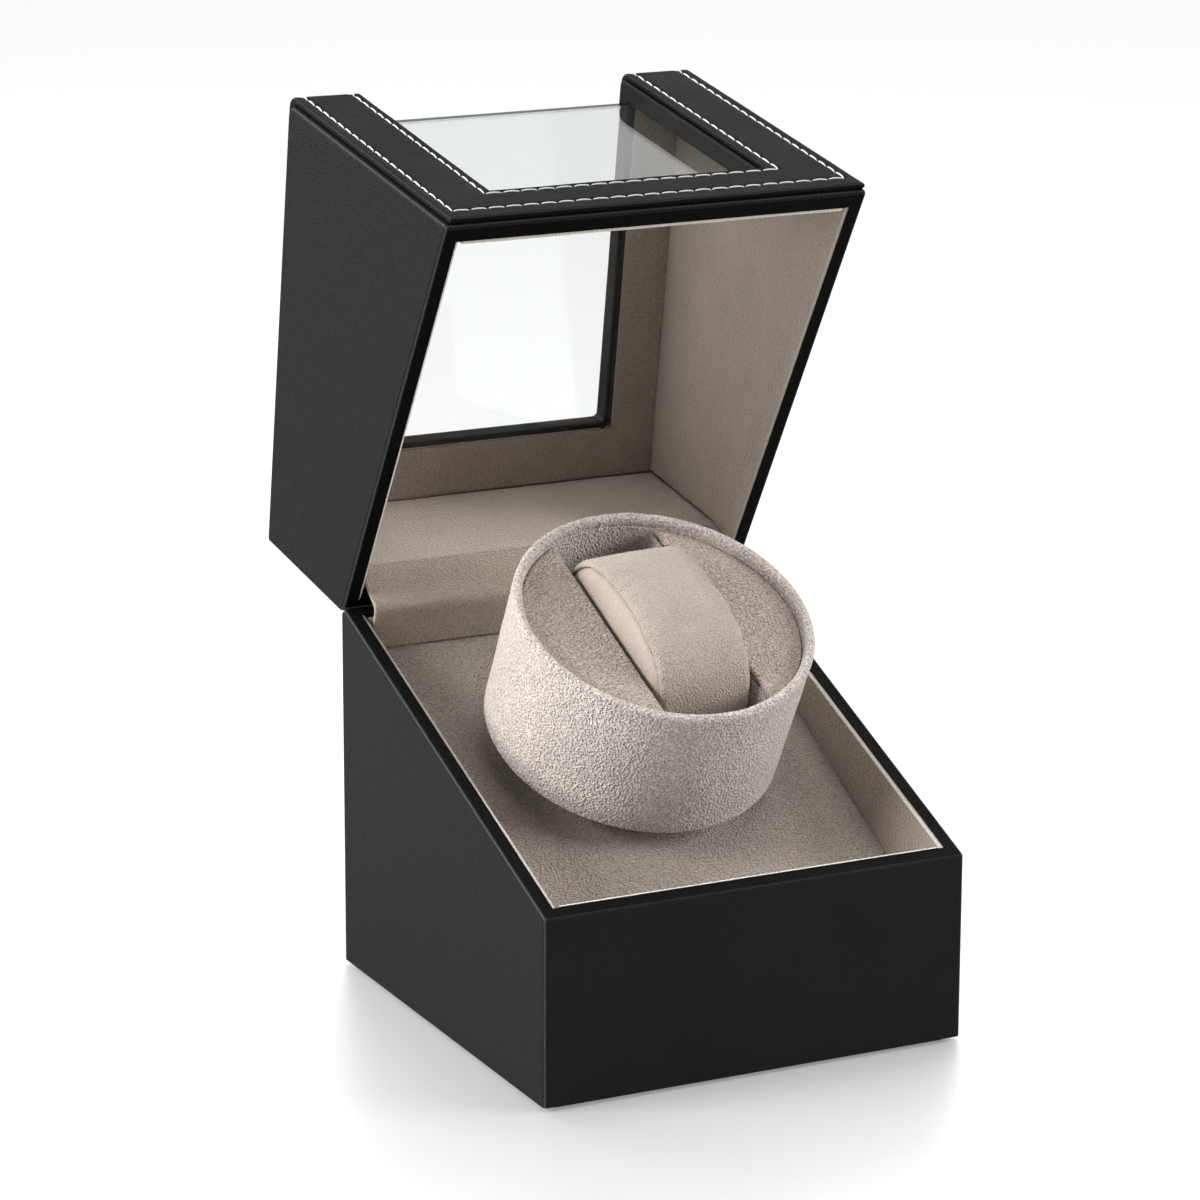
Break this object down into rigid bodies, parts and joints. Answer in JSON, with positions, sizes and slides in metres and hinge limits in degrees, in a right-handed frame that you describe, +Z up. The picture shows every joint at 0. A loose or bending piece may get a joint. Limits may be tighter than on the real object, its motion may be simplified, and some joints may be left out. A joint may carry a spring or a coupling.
{
  "type": "watch winder",
  "caption": "Leather-covered box with a glazed hinged lid standing open over a tilted suede drum, turned by a geared motor, that holds a lift-out watch pillow in its slot.",
  "frame": {"origin": "middle of the underside of the felt foot, on the surface that the box stands on", "axes": "+X to the right seen from the front, +Y to the rear, +Z up; the lid stands open at rest"},
  "size_m": [0.1204, 0.179, 0.2332],
  "materials": {
    "leather_black": "black grained imitation leather, satin",
    "board": "bare fibreboard",
    "felt": "dark felt",
    "suede_lining": "taupe microsuede",
    "suede_drum": "light grey-beige microsuede",
    "suede_pillow": "pale beige microsuede",
    "foam": "firm foam",
    "glass": "clear",
    "steel": "plain steel",
    "brass": "turned brass",
    "plastic_black": "black moulded plastic",
    "plastic_white": "natural nylon",
    "drum_plastic": "moulded plastic",
    "circuit": "green lacquered board",
    "lead": "red insulation"
  },
  "bodies": {
    "base": {"base_skin": "leather_black", "base_left_board": "board", "base_right_board": "board", "base_front_board": "board", "base_rear_board": "board", "base_bottom_board": "board", "corner_blocks": "board", "bottom_screws": "steel", "felt_foot": "felt", "tray_board": "board", "tray_cleats": "board", "tray_lining": "suede_lining", "base_side_linings": "suede_lining", "base_front_lining": "suede_lining", "base_rear_lining": "suede_lining", "hinge_base_leaves": "brass", "hinge_pins": "steel", "hinge_flap": "suede_lining", "gear_top_plate": "plastic_white", "gear_bottom_plate": "plastic_white", "drive_screws": "steel", "shaft_bush": "brass", "idler_pin": "steel", "motor_can": "steel", "motor_leads": "lead", "control_panel": "plastic_black", "switch_bodies": "plastic_black", "circuit_board": "circuit", "power_socket": "plastic_black"},
    "lid": {"lid_skin": "leather_black", "lid_left_board": "board", "lid_right_board": "board", "lid_front_frame": "board", "lid_top_frame": "board", "lid_rear_board": "board", "stitched_cover": "leather_black", "front_pane": "glass", "top_pane": "glass", "lid_side_linings": "suede_lining", "lid_front_lining": "suede_lining", "lid_top_lining": "suede_lining", "lid_rear_pad": "suede_lining", "hinge_lid_leaves": "brass"},
    "drum": {"drum_hub": "plastic_black", "hub_screws": "steel", "drum_shell": "drum_plastic", "drum_wrap": "suede_drum", "drum_slot_liner": "suede_drum", "drum_faces": "suede_drum", "drive_shaft": "steel", "shaft_clip": "steel", "output_gear": "plastic_white"},
    "compound": {"compound_gear": "plastic_white"},
    "rotor": {"motor_shaft": "steel", "motor_pinion": "brass"},
    "pillow": {"pillow_core": "foam", "pillow_band": "suede_pillow", "pillow_cheeks": "suede_pillow"},
    "knob": {"mode_knob": "plastic_black"},
    "rocker": {"power_rocker": "plastic_black"}
  },
  "joints": [
    {"name": "lid_hinge", "type": "hinge", "parent": "base", "child": "lid", "pos_m": [0, 0.0611, 0.10065], "axis": [-1, 0, 0], "range_deg": [-81, 0], "deforming": ["hinge_flap"]},
    {"name": "drum_spin", "type": "hinge", "parent": "base", "child": "drum", "pos_m": [0, 0.0128, 0.0669], "axis": [0, -0.4695, 0.8829], "continuous": true},
    {"name": "compound_spin", "type": "hinge", "parent": "base", "child": "compound", "pos_m": [-0.024, 0.01937, 0.05454], "axis": [0, -0.4695, 0.8829], "continuous": true},
    {"name": "rotor_spin", "type": "hinge", "parent": "base", "child": "rotor", "pos_m": [-0.024, 0.00171, 0.04515], "axis": [0, -0.4695, 0.8829], "continuous": true},
    {"name": "pillow_lift", "type": "slide", "parent": "drum", "child": "pillow", "axis": [0, -0.4695, 0.8829], "range_m": [0, 0.055]},
    {"name": "knob_turn", "type": "hinge", "parent": "base", "child": "knob", "pos_m": [-0.014, 0.063, 0.026], "axis": [0, 1, 0], "range_deg": [-135, 135]},
    {"name": "rocker_tilt", "type": "hinge", "parent": "base", "child": "rocker", "pos_m": [0.0015, 0.0605, 0.026], "axis": [1, 0, 0], "range_deg": [0, 16]}
  ],
  "couplings": [
    {"joint": "compound_spin", "follows": "drum_spin", "ratio": -4},
    {"joint": "rotor_spin", "follows": "drum_spin", "ratio": 16}
  ]
}
